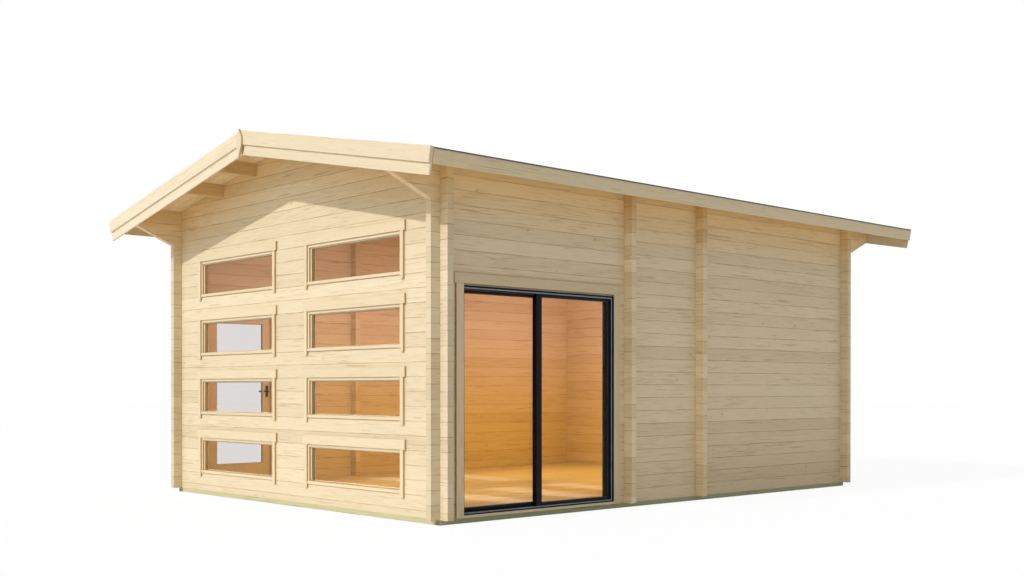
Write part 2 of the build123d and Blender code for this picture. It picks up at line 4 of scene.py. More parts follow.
import bmesh
import bpy
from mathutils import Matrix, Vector


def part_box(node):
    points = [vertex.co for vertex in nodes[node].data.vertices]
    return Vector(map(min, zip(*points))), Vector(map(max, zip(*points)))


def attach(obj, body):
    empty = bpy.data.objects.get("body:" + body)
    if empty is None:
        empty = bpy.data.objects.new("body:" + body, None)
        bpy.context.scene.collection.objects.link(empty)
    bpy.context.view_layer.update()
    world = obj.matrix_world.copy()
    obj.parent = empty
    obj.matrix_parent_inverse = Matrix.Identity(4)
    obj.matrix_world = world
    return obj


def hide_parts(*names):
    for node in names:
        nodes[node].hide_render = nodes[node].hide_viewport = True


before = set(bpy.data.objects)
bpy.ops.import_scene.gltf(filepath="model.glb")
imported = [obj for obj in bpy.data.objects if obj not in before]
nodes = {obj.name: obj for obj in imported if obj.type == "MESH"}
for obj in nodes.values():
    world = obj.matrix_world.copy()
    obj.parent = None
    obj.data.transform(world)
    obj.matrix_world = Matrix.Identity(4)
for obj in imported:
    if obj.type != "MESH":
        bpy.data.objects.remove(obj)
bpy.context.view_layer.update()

# View: the near corner of the cabin from 1.2 m up, in metres and degrees, with the lens in millimetres
CAMERA_PLACE = (10.773, -10.054, 1.225)
CAMERA_TURN = 47.378
CAMERA_TILT = -0.286
FOCAL_LENGTH = 42.35
SENSOR_WIDTH = 36.0
VIEW_RISE = 0.1037

# Light: sun and a weak fill at the window gable, a pale sky, and room lamps, golden below and rosy above
SUN_HEIGHT = 35.6
SUN_TURN = -1.5
SUN_STRENGTH = 2.0
SUN_SPREAD = 1.2
SUN_COLOUR = (1.0, 1.02, 1.06)
SKY_STRENGTH = 0.40
SKY_COLOUR = (0.97, 0.985, 1.0)
FILL_STRENGTH = 0.60
FILL_HEIGHT = 8.0
FILL_SPREAD = 70.0
FILL_COLOUR = (1.0, 0.94, 0.84)
LOW_LAMP_POWER = 13.4
LOW_LAMP_COLOUR = (1.0, 0.575, 0.02)
LOW_LAMP_MIDDLE = 0.62
LOW_LAMP_SPREAD = 100.0
HIGH_LAMP_POWER = 11.0
HIGH_LAMP_COLOUR = (1.0, 0.74, 0.78)
HIGH_LAMP_MIDDLE = 2.15
HIGH_LAMP_SPREAD = 66.0
ROOM_LAMP_BACK = 0.05
ROOM_LAMP_HEIGHT = 0.6
SIDE_LAMP_LENGTH = 6.1
REAR_LAMP_LENGTH = 3.6
FLOOR_LAMP_POWER = 36.0
FLOOR_LAMP_COLOUR = (1.0, 0.72, 0.18)
FLOOR_LAMP_HEIGHT = 2.2
FLOOR_LAMP_SPREAD = 80.0

# Studio floor round the cabin
STUDIO_SIZE = 160.0
STUDIO_COLOUR = (0.95, 0.95, 0.94)
STUDIO_ROUGHNESS = 0.9
STUDIO_WHITE_SHARE = 0.95

# Softened edges, and the distance at which split corners of an imported mesh are joined
WELD = 0.00005
LOG_EDGE = 0.0012
BOARD_EDGE = 0.0025
FRAME_EDGE = 0.0016
METAL_EDGE = 0.0008
EDGE_ANGLE = 35.0

# Boards, panes, beads and roofing that the solids leave plain
ROOF_BOARD_WIDTH = 0.092
ROOF_BOARD_EASE = 0.004
FLOOR_BOARD_WIDTH = 0.118
FLOOR_BOARD_EASE = 0.0025
BOARD_GAP = 0.0008
BEAD_WIDTH = 0.013
BEAD_HEIGHT = 0.010
ROOM_BEAD_WIDTH = 0.006
ROOM_BEAD_HEIGHT = 0.004
BEAD_LIFT = 0.0003
BEAD_TOP_SHARE = 0.35
BEAD_TOE_SHARE = 0.85
BEAD_TOE_HEIGHT_SHARE = 0.4
GLASS_GAP = 0.0012
GLASS_EDGE = 0.0008
GASKET_WIDTH = 0.006
GASKET_HEIGHT = 0.003
FELT_ROWS = 4
FELT_THICK = 0.0042
FELT_THIN = 0.0012
FELT_LIFT = 0.0003
RIDGE_STRIP_WIDTH = 0.17
RIDGE_STRIP_EDGE_SHARE = 1.6
RIDGE_STRIP_CREST_SHARE = 2.4
FRAME_LINE_WIDTH = 0.013
FRAME_LINE_PROUD = 0.003
FRAME_LINE_SETBACK = 0.0025
FRAME_LINE_SLANT_SHARE = 0.15
FLOOR_CUT_MARGIN = 0.02

# Logs outdoors get a painted warm shade close under the roof boards, which fades over this depth
EAVE_SHADE_DEPTH = 0.7


class Tree:
    """A new material's nodes, added and linked by short calls that give back output sockets."""

    def __init__(self, name):
        self.material = bpy.data.materials.new(name)
        self.material.use_nodes = True
        self.nodes = self.material.node_tree.nodes
        self.links = self.material.node_tree.links
        self.shader = self.nodes["Principled BSDF"]

    def node(self, kind, **settings):
        made = self.nodes.new(kind)
        for name, value in settings.items():
            setattr(made, name, value)
        return made

    def plug(self, value, socket):
        if isinstance(value, bpy.types.NodeSocket):
            self.links.new(value, socket)
        else:
            socket.default_value = value

    def math(self, operation, first, second=0.0):
        made = self.node("ShaderNodeMath", operation=operation)
        for value, socket in zip((first, second), made.inputs):
            self.plug(value, socket)
        return made.outputs["Value"]

    def times(self, first, second):
        return self.math("MULTIPLY", first, second)

    def plus(self, first, second):
        return self.math("ADD", first, second)

    def steps(self, value, low, high, low_out=0.0, high_out=1.0):
        """Smooth passage from low_out to high_out while the value goes from low to high."""
        made = self.node("ShaderNodeMapRange", interpolation_type="SMOOTHSTEP")
        for item, socket in zip((value, low, high, low_out, high_out), made.inputs):
            self.plug(item, socket)
        return made.outputs["Result"]

    def combine(self, x, y, z):
        made = self.node("ShaderNodeCombineXYZ")
        for value, socket in zip((x, y, z), made.inputs):
            self.plug(value, socket)
        return made.outputs["Vector"]

    def shift(self, first, second):
        made = self.node("ShaderNodeVectorMath", operation="ADD")
        self.plug(first, made.inputs[0])
        self.plug(second, made.inputs[1])
        return made.outputs["Vector"]

    def noise(self, place, detail=2.0, rough=0.5, scale=1.0):
        made = self.node("ShaderNodeTexNoise")
        self.plug(place, made.inputs["Vector"])
        self.plug(scale, made.inputs["Scale"])
        self.plug(detail, made.inputs["Detail"])
        self.plug(rough, made.inputs["Roughness"])
        return made.outputs["Fac"]

    def mix(self, share, first, second, blend="MIX"):
        made = self.node("ShaderNodeMix", data_type="RGBA", blend_type=blend)
        self.plug(share, made.inputs["Factor"])
        colours = [socket for socket in made.inputs if socket.type == "RGBA"]
        self.plug(first, colours[0])
        self.plug(second, colours[1])
        return next(socket for socket in made.outputs if socket.type == "RGBA")

    def tint(self, colour, by):
        return self.mix(1.0, colour, by, "MULTIPLY")

    def bump(self, height, strength, distance):
        made = self.node("ShaderNodeBump")
        self.plug(strength, made.inputs["Strength"])
        self.plug(distance, made.inputs["Distance"])
        self.plug(height, made.inputs["Height"])
        self.plug(made.outputs["Normal"], self.shader.inputs["Normal"])

    def surface(self, share, first, second, output="Material Output"):
        """Blends two shaders into the output, where a share of 1 is the second one alone."""
        blend = self.node("ShaderNodeMixShader")
        for value, socket in zip((share, first, second), blend.inputs):
            self.plug(value, socket)
        self.plug(blend.outputs["Shader"], self.nodes[output].inputs["Surface"])

    def finish(self, colour, roughness, specular=0.5):
        self.plug(colour, self.shader.inputs["Base Color"])
        self.plug(roughness, self.shader.inputs["Roughness"])
        self.shader.inputs["Specular IOR Level"].default_value = specular
        return self.material


def rgb(red, green, blue):
    return (red, green, blue, 1.0)


class Timber(NamedTuple):
    """Colours of a timber, tints of painted shade for its side faces and under the eaves, a tint for dark
    pieces, and shares of knots and streaks.
    """

    early: tuple
    late: tuple
    streak: tuple
    knot: tuple
    end: tuple
    # Tint of painted shade on a board's side faces
    edge: tuple = rgb(0.80, 0.70, 0.54)
    tone: tuple = rgb(0.92, 0.89, 0.84)
    # Tint of painted warm shade and bounce light close under the eaves
    eave_shade: tuple = rgb(1.06, 0.93, 0.66)
    knots: float = 1.0
    streaks: float = 1.0


SPRUCE = Timber(
    early=rgb(0.765, 0.65, 0.455),
    late=rgb(0.63, 0.48, 0.28),
    streak=rgb(0.45, 0.33, 0.17),
    knot=rgb(0.36, 0.24, 0.12),
    end=rgb(0.70, 0.60, 0.42),
)
# Splice logs: paler than the spruce as painted bounce light on their shaded fronts, and darker under the
# eaves as painted shade
SPLICE_PAINTED_LIGHT = Timber(
    early=rgb(0.88, 0.745, 0.49),
    late=rgb(0.74, 0.56, 0.32),
    streak=rgb(0.50, 0.35, 0.17),
    knot=rgb(0.38, 0.25, 0.12),
    end=rgb(0.78, 0.67, 0.47),
    tone=rgb(0.87, 0.82, 0.74),
    eave_shade=rgb(0.80, 0.63, 0.41),
)
DECKING = Timber(
    early=rgb(0.87, 0.66, 0.37),
    late=rgb(0.70, 0.47, 0.22),
    streak=rgb(0.52, 0.33, 0.14),
    knot=rgb(0.40, 0.24, 0.10),
    end=rgb(0.70, 0.54, 0.33),
)
PURLIN = Timber(
    early=rgb(0.75, 0.515, 0.245),
    late=rgb(0.60, 0.375, 0.155),
    streak=rgb(0.45, 0.27, 0.11),
    knot=rgb(0.36, 0.21, 0.08),
    end=rgb(0.62, 0.45, 0.24),
)
FASCIA = Timber(
    early=rgb(0.78, 0.66, 0.45),
    late=rgb(0.68, 0.53, 0.32),
    streak=rgb(0.52, 0.38, 0.21),
    knot=rgb(0.42, 0.28, 0.15),
    # Sawn ends darkened as painted shade, so that their sunlit ends look like the shaded face
    end=rgb(0.42, 0.34, 0.22),
    knots=0.4,
)
BARGEBOARD = Timber(
    early=rgb(0.79, 0.68, 0.49),
    late=rgb(0.68, 0.54, 0.34),
    streak=rgb(0.54, 0.41, 0.24),
    knot=rgb(0.42, 0.29, 0.16),
    end=rgb(0.82, 0.71, 0.51),
    knots=0.5,
)
JOINERY = Timber(
    early=rgb(0.755, 0.632, 0.428),
    late=rgb(0.69, 0.54, 0.33),
    streak=rgb(0.58, 0.42, 0.23),
    knot=rgb(0.44, 0.29, 0.15),
    end=rgb(0.70, 0.54, 0.33),
    tone=rgb(0.96, 0.95, 0.93),
    knots=0.3,
    streaks=0.5,
)
DOOR_TRIM = Timber(
    early=rgb(0.70, 0.58, 0.385),
    late=rgb(0.57, 0.45, 0.27),
    streak=rgb(0.44, 0.33, 0.18),
    knot=rgb(0.34, 0.23, 0.12),
    end=rgb(0.56, 0.45, 0.28),
    # Darker painted shade on the door trims' side faces
    edge=rgb(0.62, 0.50, 0.34),
    knots=0.3,
    streaks=0.6,
)
TREATED = Timber(
    early=rgb(0.41, 0.45, 0.29),
    late=rgb(0.30, 0.33, 0.20),
    streak=rgb(0.21, 0.23, 0.13),
    knot=rgb(0.15, 0.14, 0.08),
    end=rgb(0.33, 0.35, 0.22),
)
# A paler, yellower copy of the treated timber, as painted sunlight on the cross beams at the sunlit gables
TREATED_PAINTED_SUNLIT = Timber(
    early=rgb(0.58, 0.55, 0.33),
    late=rgb(0.44, 0.42, 0.24),
    streak=rgb(0.32, 0.30, 0.16),
    knot=rgb(0.22, 0.19, 0.10),
    end=rgb(0.42, 0.41, 0.25),
)

# Limits between which noise passes from none to full
SOFT = (0.3, 0.7)
WIDE = (0.2, 0.8)

# Timber: cells of noise to the metre along and across the grain, and in all directions for ends and knots
PATCH_CELLS = (0.8, 3.0)
RING_CELLS = (0.3, 4.5)
FIBRE_CELLS = (5.0, 260.0)
DASH_CELLS = (3.2, 80.0)
SCAR_CELLS = (1.7, 34.0)
JOINT_CELLS = (2.6, 3.0)
SAWN_CELLS = 9.0
KNOT_CELLS = 3.4

# Timber: each piece's own place in the noise, and growth lines: how many, how sharp, and bent by knots
SEED_SPREAD = (37.0, 91.0, 53.0)
SECOND_DRAW = 7.31
RING_COUNT = 17.0
RING_POWER = 2.2
SAWN_RING_COUNT = 20.0
SAWN_RING_POWER = 1.6
HALO_BEND = 0.07

# Timber: knots in cells, rims in knot sizes, joints in course heights, others in noise or facing
KNOT_SIZES = (0.014, 0.036)
KNOT_CHANCE = (0.11, 0.12)
KNOT_RIM = (0.65, 1.0)
HALO_RIM = (0.8, 4.0)
DASH_LIMITS = (0.54, 0.67)
DASH_PATCH_LIMITS = (0.38, 0.62)
SCAR_LIMITS = (0.64, 0.76)
SAWN_FACING = (0.75, 0.9)
# Facing below which a board's side faces take full painted shade
SHADED_EDGE_FACING = (0.55, 0.85)
JOINT_TOP = (0.955, 0.985)
JOINT_FOOT = (0.0, 0.02)
JOINT_LIMITS = (0.36, 0.60)

# Timber: shares of its colours, and its finish
LATE_SHARES = (0.12, 0.42)
DASH_LEAST_SHARE = 0.4
STREAK_SHARE = 0.55
SCAR_SHARE = 0.6
HALO_SHARE = 0.3
KNOT_SHARE = 0.85
SAWN_RING_SHARE = 0.35
JOINT_SHARES = (0.2, 0.95)
# Tint of the dark joints: dirt in the groove and painted groove shade
JOINT_DIRT_AND_SHADE_TINT = rgb(0.68, 0.56, 0.40)
PALE_TONE = rgb(1.04, 1.03, 1.02)
FIBRE_TINTS = (rgb(0.94, 0.93, 0.91), rgb(1.05, 1.05, 1.05))
RING_RELIEF = 0.5
FIBRE_RELIEF = 0.6
KNOT_RELIEF = 0.6
TIMBER_BUMP = (0.35, 0.0008)
FIBRE_GLOSS = 0.6
RING_GLOSS = 0.4
TIMBER_ROUGHNESS = (0.72, 0.52)
TIMBER_SPECULAR = 0.35

# Metal, rubber and felt: pairs of colours, cells of noise to the metre, strength and depth of bump, finish
ANTHRACITE = (rgb(0.0025, 0.0038, 0.0070), rgb(0.0040, 0.0058, 0.0100))
ANTHRACITE_ROUGHNESS = 0.45
# Pale grey-blue of the frame line, a painted highlight on its edge
LINE_PAINTED_HIGHLIGHT = (rgb(0.24, 0.29, 0.35), rgb(0.29, 0.35, 0.42))
LINE_ROUGHNESS = 0.36
HANDLE_DARK = (rgb(0.016, 0.017, 0.016), rgb(0.03, 0.03, 0.028))
HANDLE_ROUGHNESS = 0.32
PAINT_CLOUD_CELLS = 6.0
PAINT_PEEL_CELLS = 900.0
PAINT_BUMP = (0.12, 0.0004)
PAINT_SPECULAR = 0.12
PAINT_ROUGHNESS_SPREAD = (-0.06, 0.08)
ZINC = (rgb(0.52, 0.53, 0.55), rgb(0.64, 0.65, 0.66))
ZINC_ROUGHNESS = 0.36
ZINC_CLOUD_CELLS = 14.0
ZINC_LINE_CELLS = (700.0, 700.0, 18.0)
ZINC_BUMP = (0.1, 0.0003)
ZINC_ROUGHNESS_SPREAD = (-0.08, 0.08)
RUBBER_BLACK = (rgb(0.008, 0.008, 0.009), rgb(0.018, 0.018, 0.02))
RUBBER_CELLS = 500.0
RUBBER_BUMP = (0.15, 0.0004)
RUBBER_ROUGHNESS = (0.5, 0.65)
FELT_GRAIN_CELLS = 420.0
FELT_PATCH_CELLS = 1.7
FELT_BUMP = (0.5, 0.0012)
FELT_ROUGHNESS = (0.82, 0.96)
FELT_SPECULAR = 0.3
FELT_COLOURS = (rgb(0.085, 0.083, 0.078), rgb(0.175, 0.171, 0.162))
FELT_PALE_GRAIN = rgb(0.26, 0.255, 0.245)
FELT_PALE_LIMITS = (0.88, 0.95)
FELT_PATCH = rgb(0.11, 0.108, 0.102)
FELT_PATCH_LIMITS = (0.4, 0.7)
FELT_PATCH_SHARE = 0.4

# Glass: a thin uneven film on a tint, and the light that it lets through
GLASS_FILM_CELLS = 2.2
GLASS_TINTS = (rgb(0.835, 0.822, 0.815), rgb(0.855, 0.843, 0.838))
GLASS_ROUGHNESS = (0.0, 0.012)
GLASS_IOR = 1.15
GLASS_LIGHT = rgb(0.93, 0.93, 0.92)


def grain_axes(t, grain):
    """Coordinates along, across and through the timber, for grain along x, y, z or the roof slope."""
    place = t.node("ShaderNodeTexCoord").outputs["Object"]
    split = t.node("ShaderNodeSeparateXYZ")
    t.plug(place, split.inputs["Vector"])
    x, y, z = split.outputs
    if grain == "slope":
        run = t.math("ABSOLUTE", x)
        along = t.math("SUBTRACT", t.times(run, cos(roof.angle)), t.times(z, sin(roof.angle)))
        across = t.plus(t.times(run, sin(roof.angle)), t.times(z, cos(roof.angle)))
        return along, across, y
    return {"x": (x, z, y), "y": (y, z, x), "z": (z, x, y)}[grain]


def facing(t, axis):
    """How squarely a face looks along an axis of its own piece, from 0 to 1."""
    turned = t.node("ShaderNodeVectorTransform", vector_type="NORMAL")
    turned.convert_from = "WORLD"
    turned.convert_to = "OBJECT"
    t.plug(t.node("ShaderNodeNewGeometry").outputs["True Normal"], turned.inputs["Vector"])
    split = t.node("ShaderNodeSeparateXYZ")
    t.plug(turned.outputs["Vector"], split.inputs["Vector"])
    return t.math("ABSOLUTE", split.outputs["XYZ".index(axis.upper())])


def wall_middle(node, axis):
    """How far from the cabin's middle the centre of a log wall stands, along the axis of its thickness."""
    low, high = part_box(node)
    return abs(low[axis] + high[axis]) / 2


def eave_shade_share(t):
    """Share of painted warm shade under the eaves: 1 outdoors close under the roof boards, falling to 0
    further down, and 0 indoors.
    """
    split = t.node("ShaderNodeSeparateXYZ")
    t.plug(t.node("ShaderNodeTexCoord").outputs["Object"], split.inputs["Vector"])
    x, y, z = split.outputs
    aside, ahead = t.math("ABSOLUTE", x), t.math("ABSOLUTE", y)
    beyond_side = t.math("GREATER_THAN", aside, wall_middle("right_wall_odd_logs", 0))
    beyond_gable = t.math("GREATER_THAN", ahead, wall_middle("front_gable_odd_logs", 1))
    underside = t.math("SUBTRACT", roof.ridge, t.times(aside, roof.slope))
    near = t.steps(t.math("SUBTRACT", underside, z), 0.0, EAVE_SHADE_DEPTH, 1.0, 0.0)
    return t.times(near, t.math("MAXIMUM", beyond_side, beyond_gable))


def joint_dirt_and_shade(t, across, along, base, height):
    """A thin broken line of groove dirt and painted groove shade along the top and bottom of every log
    course.
    """
    level = t.math("FRACT", t.math("DIVIDE", t.math("SUBTRACT", across, base), height))
    line = t.math("MAXIMUM", t.steps(level, *JOINT_TOP), t.steps(level, *JOINT_FOOT, 1.0, 0.0))
    place = t.combine(t.times(along, JOINT_CELLS[0]), t.times(across, JOINT_CELLS[1]), 0.0)
    broken = t.noise(place, detail=3.0, rough=0.6)
    return t.times(line, t.steps(broken, *JOINT_LIMITS, *JOINT_SHARES))


def knots_and_halos(t, place, timber):
    """A few round knots, and the wider ground round them where the growth lines bend."""
    spots = t.node("ShaderNodeTexVoronoi", voronoi_dimensions="2D")
    spots.inputs["Scale"].default_value = KNOT_CELLS
    t.plug(place, spots.inputs["Vector"])
    chance = t.node("ShaderNodeSeparateColor")
    t.plug(spots.outputs["Color"], chance.inputs["Color"])
    size = t.steps(chance.outputs["Red"], 0.0, 1.0, *KNOT_SIZES)
    sure, last = (limit * timber.knots for limit in KNOT_CHANCE)
    there = t.steps(chance.outputs["Green"], sure, last, 1.0, 0.0)
    ratio = t.math("DIVIDE", spots.outputs["Distance"], size)
    knot = t.times(t.steps(ratio, *KNOT_RIM, 1.0, 0.0), there)
    halo = t.times(t.steps(ratio, *HALO_RIM, 1.0, 0.0), there)
    return knot, halo


def growth_lines(t, field, count, power):
    """Lines that darken slowly and end sharply, as many as the count over a field from 0 to 1."""
    return t.math("POWER", t.math("FRACT", t.times(field, count)), power)


def wood(name, grain, timber, face=None, course=None):
    """Timber with growth lines along the grain, streaks, a few knots and sawn ends.

    Boards name the axis that their face looks along, and their side faces get painted shade. Logs name the
    lowest joint and the height of their courses, for the dark joints and the painted warm shade under the
    eaves.
    """
    t = Tree(name)
    along, across, deep = grain_axes(t, grain)
    piece = t.node("ShaderNodeNewGeometry").outputs["Random Per Island"]
    other = t.math("FRACT", t.times(piece, SECOND_DRAW))
    seed = t.combine(*(t.times(piece, spread) for spread in SEED_SPREAD))

    def stretched(cells):
        length, width = cells
        spot = t.combine(t.times(along, length), t.times(across, width), t.times(deep, width))
        return t.shift(spot, seed)

    flat = t.shift(t.combine(along, t.plus(across, deep), 0.0), seed)
    knot, halo = knots_and_halos(t, flat, timber)
    patch = t.noise(stretched(PATCH_CELLS), detail=1.0)
    field = t.plus(t.noise(stretched(RING_CELLS), detail=1.5, rough=0.4), t.times(halo, HALO_BEND))
    ring = growth_lines(t, field, RING_COUNT, RING_POWER)
    fibre = t.noise(stretched(FIBRE_CELLS), detail=2.0)
    dash = t.noise(stretched(DASH_CELLS), detail=3.0, rough=0.62)
    streak = t.times(t.steps(dash, *DASH_LIMITS), t.steps(patch, *DASH_PATCH_LIMITS, DASH_LEAST_SHARE, 1.0))
    scar = t.steps(t.noise(stretched(SCAR_CELLS), detail=2.0, rough=0.55), *SCAR_LIMITS)

    late_share = t.times(ring, t.steps(patch, *SOFT, *LATE_SHARES))
    colour = t.mix(late_share, timber.early, timber.late)
    colour = t.mix(t.times(streak, STREAK_SHARE * timber.streaks), colour, timber.streak)
    colour = t.mix(t.times(scar, SCAR_SHARE * timber.streaks), colour, timber.streak)
    colour = t.mix(t.times(halo, HALO_SHARE), colour, timber.late)
    colour = t.mix(t.times(knot, KNOT_SHARE), colour, timber.knot)

    sawn = t.steps(facing(t, "x" if grain == "slope" else grain), *SAWN_FACING)
    section = t.combine(0.0, t.times(across, SAWN_CELLS), t.times(deep, SAWN_CELLS))
    arc = growth_lines(t, t.noise(t.shift(section, seed), detail=0.5), SAWN_RING_COUNT, SAWN_RING_POWER)
    colour = t.mix(sawn, colour, t.mix(t.times(arc, SAWN_RING_SHARE), timber.end, timber.late))

    colour = t.tint(colour, t.mix(other, timber.tone, PALE_TONE))
    colour = t.tint(colour, t.mix(fibre, *FIBRE_TINTS))
    # Painted shade: faces that don't look along the board's face axis are tinted darker
    if face:
        edge = t.steps(facing(t, face), *SHADED_EDGE_FACING, 1.0, 0.0)
        colour = t.mix(edge, colour, t.tint(colour, timber.edge))
    if course:
        # Painted warm shade and bounce light close under the eaves
        eave_shade = t.tint(colour, timber.eave_shade)
        colour = t.mix(eave_shade_share(t), colour, eave_shade)
        # Dark joint lines: dirt in the groove and painted groove shade
        dark = t.tint(colour, JOINT_DIRT_AND_SHADE_TINT)
        colour = t.mix(joint_dirt_and_shade(t, across, along, *course), colour, dark)

    fine_relief = t.plus(t.times(fibre, FIBRE_RELIEF), t.times(knot, KNOT_RELIEF))
    t.bump(t.plus(t.times(ring, RING_RELIEF), fine_relief), *TIMBER_BUMP)
    gloss = t.plus(t.times(fibre, FIBRE_GLOSS), t.times(ring, RING_GLOSS))
    return t.finish(colour, t.steps(gloss, *WIDE, *TIMBER_ROUGHNESS), TIMBER_SPECULAR)


def painted_metal(name, base, light, roughness):
    """Powder-coated or plated metal with a fine orange-peel skin and a little unevenness."""
    t = Tree(name)
    place = t.node("ShaderNodeTexCoord").outputs["Object"]
    cloud = t.noise(place, detail=3.0, scale=PAINT_CLOUD_CELLS)
    peel = t.noise(place, detail=2.0, scale=PAINT_PEEL_CELLS)
    colour = t.mix(t.steps(cloud, *SOFT), base, light)
    t.bump(peel, *PAINT_BUMP)
    least, most = (roughness + part for part in PAINT_ROUGHNESS_SPREAD)
    return t.finish(colour, t.steps(peel, *WIDE, least, most), PAINT_SPECULAR)


def bare_metal(name, base, light, roughness):
    """Zinc-plated steel with drawn lines."""
    t = Tree(name)
    place = t.node("ShaderNodeTexCoord").outputs["Object"]
    stretch = t.node("ShaderNodeMapping")
    stretch.inputs["Scale"].default_value = ZINC_LINE_CELLS
    t.plug(place, stretch.inputs["Vector"])
    lines = t.noise(stretch.outputs["Vector"], detail=2.0)
    cloud = t.noise(place, detail=2.0, scale=ZINC_CLOUD_CELLS)
    colour = t.mix(t.steps(cloud, *SOFT), base, light)
    t.shader.inputs["Metallic"].default_value = 1.0
    t.bump(lines, *ZINC_BUMP)
    least, most = (roughness + part for part in ZINC_ROUGHNESS_SPREAD)
    return t.finish(colour, t.steps(lines, *WIDE, least, most))


def felt(name):
    """Mineral roofing felt: dark granules with lighter grains and faint weathered patches."""
    t = Tree(name)
    place = t.node("ShaderNodeTexCoord").outputs["Object"]
    grains = t.node("ShaderNodeTexVoronoi")
    grains.inputs["Scale"].default_value = FELT_GRAIN_CELLS
    t.plug(place, grains.inputs["Vector"])
    pick = t.node("ShaderNodeSeparateColor")
    t.plug(grains.outputs["Color"], pick.inputs["Color"])
    patch = t.noise(place, detail=4.0, scale=FELT_PATCH_CELLS)
    colour = t.mix(pick.outputs["Red"], *FELT_COLOURS)
    colour = t.mix(t.steps(pick.outputs["Green"], *FELT_PALE_LIMITS), colour, FELT_PALE_GRAIN)
    colour = t.mix(t.times(t.steps(patch, *FELT_PATCH_LIMITS), FELT_PATCH_SHARE), colour, FELT_PATCH)
    t.bump(grains.outputs["Distance"], *FELT_BUMP)
    return t.finish(colour, t.steps(pick.outputs["Blue"], 0.0, 1.0, *FELT_ROUGHNESS), FELT_SPECULAR)


def moulded_rubber(name, base, light):
    """Black moulded rubber with a fine grain."""
    t = Tree(name)
    place = t.node("ShaderNodeTexCoord").outputs["Object"]
    grain = t.noise(place, detail=3.0, scale=RUBBER_CELLS)
    colour = t.mix(grain, base, light)
    t.bump(grain, *RUBBER_BUMP)
    return t.finish(colour, t.steps(grain, *SOFT, *RUBBER_ROUGHNESS))


def glass(name):
    """Window glass with a grey-rose tint that lets lamps shine through."""
    t = Tree(name)
    place = t.node("ShaderNodeTexCoord").outputs["Object"]
    film = t.noise(place, detail=3.0, scale=GLASS_FILM_CELLS)
    t.shader.inputs["Transmission Weight"].default_value = 1.0
    t.shader.inputs["IOR"].default_value = GLASS_IOR
    t.plug(t.mix(film, *GLASS_TINTS), t.shader.inputs["Base Color"])
    t.plug(t.steps(film, *SOFT, *GLASS_ROUGHNESS), t.shader.inputs["Roughness"])
    clear = t.node("ShaderNodeBsdfTransparent")
    clear.inputs["Color"].default_value = GLASS_LIGHT
    shadow = t.node("ShaderNodeLightPath").outputs["Is Shadow Ray"]
    t.surface(shadow, t.shader.outputs["BSDF"], clear.outputs["BSDF"])
    return t.material


class Roof:
    """A layer of the roof from its packed slab: ridge and slope of its underside, its rise and edges."""

    def __init__(self, node):
        points = [vertex.co for vertex in nodes[node].data.vertices]
        self.edge = max(point.x for point in points)
        self.back = max(point.y for point in points)
        ridge = [point.z for point in points if point.x < WELD]
        eave = [point.z for point in points if point.x > self.edge - WELD]
        self.ridge = min(ridge)
        self.rise = max(ridge) - min(ridge)
        self.slope = (min(ridge) - min(eave)) / self.edge
        self.angle = Vector((1.0, self.slope)).angle(Vector((1.0, 0.0)))

    def height(self, x):
        return self.ridge - abs(x) * self.slope


roof = Roof("roof_deck_right")
cover = Roof("roof_covering_right")


def solids(node):
    """Boxes of a node's separate solids as pairs of corners, in order of place."""
    mesh = bmesh.new()
    mesh.from_mesh(nodes[node].data)
    bmesh.ops.remove_doubles(mesh, verts=mesh.verts, dist=WELD)
    boxes = []
    unseen = set(mesh.verts)
    while unseen:
        queue = [unseen.pop()]
        found = []
        while queue:
            vertex = queue.pop()
            found.append(vertex.co.copy())
            for edge in vertex.link_edges:
                near = edge.other_vert(vertex)
                if near in unseen:
                    unseen.remove(near)
                    queue.append(near)
        low = tuple(min(point[axis] for point in found) for axis in range(3))
        high = tuple(max(point[axis] for point in found) for axis in range(3))
        boxes.append((low, high))
    mesh.free()
    return sorted(boxes)


def new_piece(name, mesh, material, body):
    """A finished piece from a bmesh, with its normals outward, riding on a body."""
    bmesh.ops.recalc_face_normals(mesh, faces=mesh.faces)
    data = bpy.data.meshes.new(name)
    mesh.to_mesh(data)
    mesh.free()
    piece = bpy.data.objects.new(name, data)
    bpy.context.scene.collection.objects.link(piece)
    data.materials.append(material)
    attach(piece, body)
    return piece


def add_prism(mesh, outline, place, start, end):
    """A prism between two stations: place(station, point) gives the corner for an outline's point."""
    rows = [[mesh.verts.new(place(station, point)) for point in outline] for station in (start, end)]
    count = len(outline)
    for index in range(count):
        after = (index + 1) % count
        mesh.faces.new((rows[0][index], rows[0][after], rows[1][after], rows[1][index]))
    mesh.faces.new(rows[0])
    mesh.faces.new(list(reversed(rows[1])))


def add_ring(mesh, low, high, profile, place):
    """A mitred ring inside a rectangle: each profile point is (inset from the edge, depth)."""
    corners = ((0, 0), (1, 0), (1, 1), (0, 1))
    rows = []
    for inset, depth in profile:
        row = []
        for right, up in corners:
            across = high[0] - inset if right else low[0] + inset
            upright = high[1] - inset if up else low[1] + inset
            row.append(mesh.verts.new(place(across, upright, depth)))
        rows.append(row)
    for first, second in zip(rows, rows[1:] + rows[:1]):
        for index in range(len(corners)):
            after = (index + 1) % len(corners)
            mesh.faces.new((first[index], first[after], second[after], second[index]))


